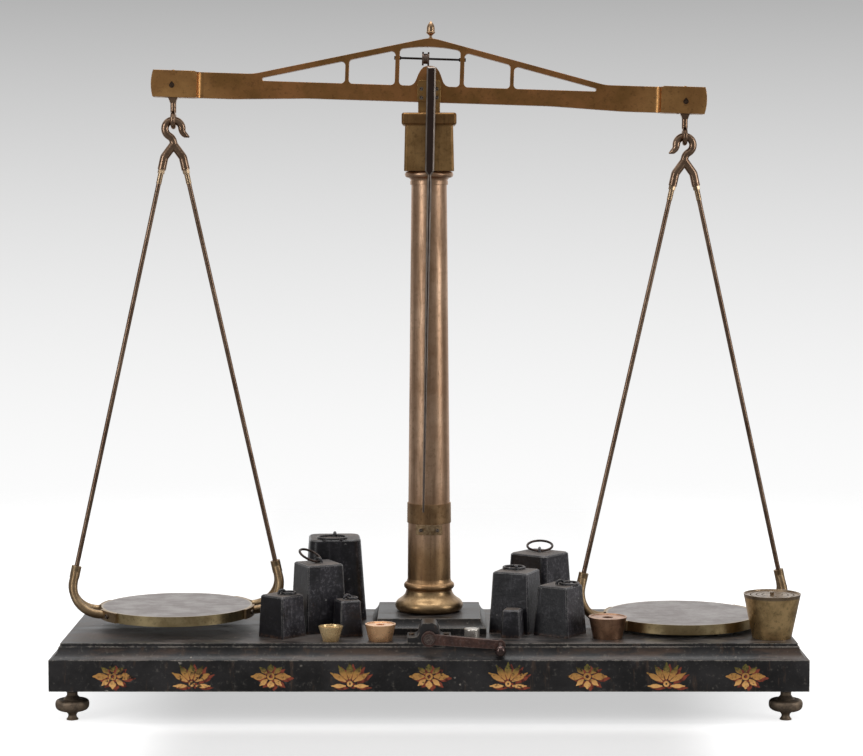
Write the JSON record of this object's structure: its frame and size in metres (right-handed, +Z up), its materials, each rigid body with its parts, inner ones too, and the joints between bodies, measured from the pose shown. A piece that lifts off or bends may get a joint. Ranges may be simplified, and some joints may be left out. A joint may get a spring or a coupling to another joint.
{
  "type": "balance scale",
  "caption": "Equal-arm counter balance: truss beam on a turned column, two hanging pans, lift lever and loose weights on a moulded base.",
  "frame": {"origin": "on the floor under the column axis", "axes": "+X to the right along the base and the beam, +Y to the back, +Z up; the lever and the pointer face -Y"},
  "size_m": [0.914, 0.2834, 0.8484],
  "materials": {
    "black_iron": "worn black japan",
    "dark_iron": "brown-black iron",
    "dark_steel": "browned steel",
    "old_bronze": "dark bronze",
    "column_brass": "polished and aged",
    "beam_brass": "aged brown",
    "pointer_brass": "aged, polished on the edges",
    "bright_steel": "ground",
    "screw_brass": "dull",
    "hanger_brass": "aged, rubbed",
    "pan_brass": "turned rim, dull top",
    "weight_iron": "black, scuffed grey",
    "ring_iron": "rusty steel wire",
    "old_brass": "dull",
    "copper": "brown copper",
    "nickel": "worn nickel"
  },
  "bodies": {
    "stand": {"base_casting": "black_iron", "column_plinth": "black_iron", "column_bolts": "dark_steel", "column_foot": "column_brass", "column_shaft": "column_brass", "index_band": "column_brass", "index_tab": "column_brass", "capital": "column_brass", "lever_bracket": "dark_iron", "stand_screws": "screw_brass"},
    "foot_front_left": {"levelling_foot_front_left": "old_bronze"},
    "foot_front_right": {"levelling_foot_front_right": "old_bronze"},
    "foot_rear_left": {"levelling_foot_rear_left": "old_bronze"},
    "foot_rear_right": {"levelling_foot_rear_right": "old_bronze"},
    "lift": {"lift_post": "beam_brass", "front_cheek": "beam_brass", "rear_cheek": "beam_brass", "knife_bearings": "bright_steel", "cheek_screws": "screw_brass"},
    "beam": {"beam_casting": "beam_brass", "centre_knife": "bright_steel", "end_knives": "bright_steel", "pointer": "pointer_brass", "pointer_pillar": "pointer_brass", "finial": "beam_brass", "poise_rod": "beam_brass"},
    "poise_nut": {"poise_nut": "beam_brass"},
    "left_stirrup": {"left_stirrup": "hanger_brass"},
    "left_hanger": {"left_hook": "hanger_brass", "left_ferrules": "hanger_brass", "left_rods": "hanger_brass", "left_bows": "hanger_brass", "left_pan": "pan_brass", "left_pan_screws": "screw_brass"},
    "right_stirrup": {"right_stirrup": "hanger_brass"},
    "right_hanger": {"right_hook": "hanger_brass", "right_ferrules": "hanger_brass", "right_rods": "hanger_brass", "right_bows": "hanger_brass", "right_pan": "pan_brass", "right_pan_screws": "screw_brass"},
    "lever": {"lever_arm": "dark_steel", "lever_knob": "dark_steel", "cam_shaft": "dark_steel", "lever_screw": "dark_steel"},
    "iron_weight_largest": {"iron_weight_largest": "weight_iron"},
    "iron_weight_second": {"iron_weight_second": "weight_iron"},
    "iron_weight_third": {"iron_weight_third": "weight_iron"},
    "iron_weight_small": {"iron_weight_small": "weight_iron"},
    "iron_weight_rear_right": {"iron_weight_rear_right": "weight_iron"},
    "iron_weight_mid_right": {"iron_weight_mid_right": "weight_iron"},
    "iron_weight_front_right": {"iron_weight_front_right": "weight_iron"},
    "iron_weight_least": {"iron_weight_least": "weight_iron"},
    "brass_cup_weight_small": {"brass_cup_weight_small": "old_brass"},
    "copper_cup_weight_left": {"copper_cup_weight_left": "copper"},
    "copper_cup_weight_right": {"copper_cup_weight_right": "copper"},
    "brass_cup_nest": {"brass_cup_nest": "old_brass"},
    "nickel_cylinder_weight": {"nickel_cylinder_weight": "nickel"},
    "weight_ring_second": {"weight_ring_second": "ring_iron"},
    "weight_ring_rear_right": {"weight_ring_rear_right": "ring_iron"}
  },
  "joints": [
    {"name": "foot_front_left_turn", "type": "hinge", "parent": "stand", "child": "foot_front_left", "pos_m": [-0.4323, -0.112, 0.02], "axis": [0, 0, 1], "continuous": true},
    {"name": "foot_front_right_turn", "type": "hinge", "parent": "stand", "child": "foot_front_right", "pos_m": [0.4323, -0.112, 0.02], "axis": [0, 0, 1], "continuous": true},
    {"name": "foot_rear_left_turn", "type": "hinge", "parent": "stand", "child": "foot_rear_left", "pos_m": [-0.4323, 0.112, 0.02], "axis": [0, 0, 1], "continuous": true},
    {"name": "foot_rear_right_turn", "type": "hinge", "parent": "stand", "child": "foot_rear_right", "pos_m": [0.4323, 0.112, 0.02], "axis": [0, 0, 1], "continuous": true},
    {"name": "lift_rise", "type": "slide", "parent": "stand", "child": "lift", "axis": [0, 0, 1], "range_m": [0, 0.006]},
    {"name": "beam_rock", "type": "hinge", "parent": "lift", "child": "beam", "pos_m": [0, 0, 0.764], "axis": [0, 1, 0], "range_deg": [-1.9, 0.3]},
    {"name": "poise_nut_slide", "type": "slide", "parent": "beam", "child": "poise_nut", "axis": [0.9995, 0, -0.0318], "range_m": [-0.024, 0.034]},
    {"name": "left_stirrup_swing", "type": "hinge", "parent": "beam", "child": "left_stirrup", "pos_m": [-0.31624, 0, 0.77405], "axis": [0, 1, 0], "range_deg": [-0.35, 1.95]},
    {"name": "left_pan_swing", "type": "hinge", "parent": "left_stirrup", "child": "left_hanger", "pos_m": [-0.31624, 0, 0.72655], "axis": [1, 0, 0], "range_deg": [-1, 1]},
    {"name": "right_stirrup_swing", "type": "hinge", "parent": "beam", "child": "right_stirrup", "pos_m": [0.31624, 0, 0.75395], "axis": [0, 1, 0], "range_deg": [-0.35, 1.95]},
    {"name": "right_pan_swing", "type": "hinge", "parent": "right_stirrup", "child": "right_hanger", "pos_m": [0.31624, 0, 0.70645], "axis": [1, 0, 0], "range_deg": [-1, 1]},
    {"name": "lever_turn", "type": "hinge", "parent": "stand", "child": "lever", "pos_m": [0, -0.1, 0.1015], "axis": [0, -1, 0], "range_deg": [0, 80.2]},
    {"name": "iron_weight_largest_lift_off", "type": "slide", "parent": "stand", "child": "iron_weight_largest", "axis": [0, 0, 1], "range_m": [0, 0.1]},
    {"name": "iron_weight_second_lift_off", "type": "slide", "parent": "stand", "child": "iron_weight_second", "axis": [0, 0, 1], "range_m": [0, 0.1]},
    {"name": "iron_weight_third_lift_off", "type": "slide", "parent": "stand", "child": "iron_weight_third", "axis": [0, 0, 1], "range_m": [0, 0.1]},
    {"name": "iron_weight_small_lift_off", "type": "slide", "parent": "stand", "child": "iron_weight_small", "axis": [0, 0, 1], "range_m": [0, 0.1]},
    {"name": "iron_weight_rear_right_lift_off", "type": "slide", "parent": "stand", "child": "iron_weight_rear_right", "axis": [0, 0, 1], "range_m": [0, 0.1]},
    {"name": "iron_weight_mid_right_lift_off", "type": "slide", "parent": "stand", "child": "iron_weight_mid_right", "axis": [0, 0, 1], "range_m": [0, 0.1]},
    {"name": "iron_weight_front_right_lift_off", "type": "slide", "parent": "stand", "child": "iron_weight_front_right", "axis": [0, 0, 1], "range_m": [0, 0.1]},
    {"name": "iron_weight_least_lift_off", "type": "slide", "parent": "stand", "child": "iron_weight_least", "axis": [0, 0, 1], "range_m": [0, 0.1]},
    {"name": "brass_cup_weight_small_lift_off", "type": "slide", "parent": "stand", "child": "brass_cup_weight_small", "axis": [0, 0, 1], "range_m": [0, 0.1]},
    {"name": "copper_cup_weight_left_lift_off", "type": "slide", "parent": "stand", "child": "copper_cup_weight_left", "axis": [0, 0, 1], "range_m": [0, 0.1]},
    {"name": "copper_cup_weight_right_lift_off", "type": "slide", "parent": "stand", "child": "copper_cup_weight_right", "axis": [0, 0, 1], "range_m": [0, 0.1]},
    {"name": "brass_cup_nest_lift_off", "type": "slide", "parent": "stand", "child": "brass_cup_nest", "axis": [0, 0, 1], "range_m": [0, 0.1]},
    {"name": "nickel_cylinder_weight_lift_off", "type": "slide", "parent": "stand", "child": "nickel_cylinder_weight", "axis": [0, 0, 1], "range_m": [0, 0.1]},
    {"name": "weight_ring_second_turn", "type": "hinge", "parent": "iron_weight_second", "child": "weight_ring_second", "pos_m": [-0.137, -0.031, 0.1813], "axis": [0.4848, 0.8746, 0], "range_deg": [-26, 40]},
    {"name": "weight_ring_rear_right_turn", "type": "hinge", "parent": "iron_weight_rear_right", "child": "weight_ring_rear_right", "pos_m": [0.141, 0.061, 0.1813], "axis": [0.9976, -0.0698, 0], "range_deg": [-14, 60]}
  ],
  "couplings": [
    {"joint": "left_stirrup_swing", "follows": "beam_rock", "ratio": -1},
    {"joint": "right_stirrup_swing", "follows": "beam_rock", "ratio": -1},
    {"joint": "lever_turn", "follows": "lift_rise", "rad_per_m": 232.71}
  ]
}
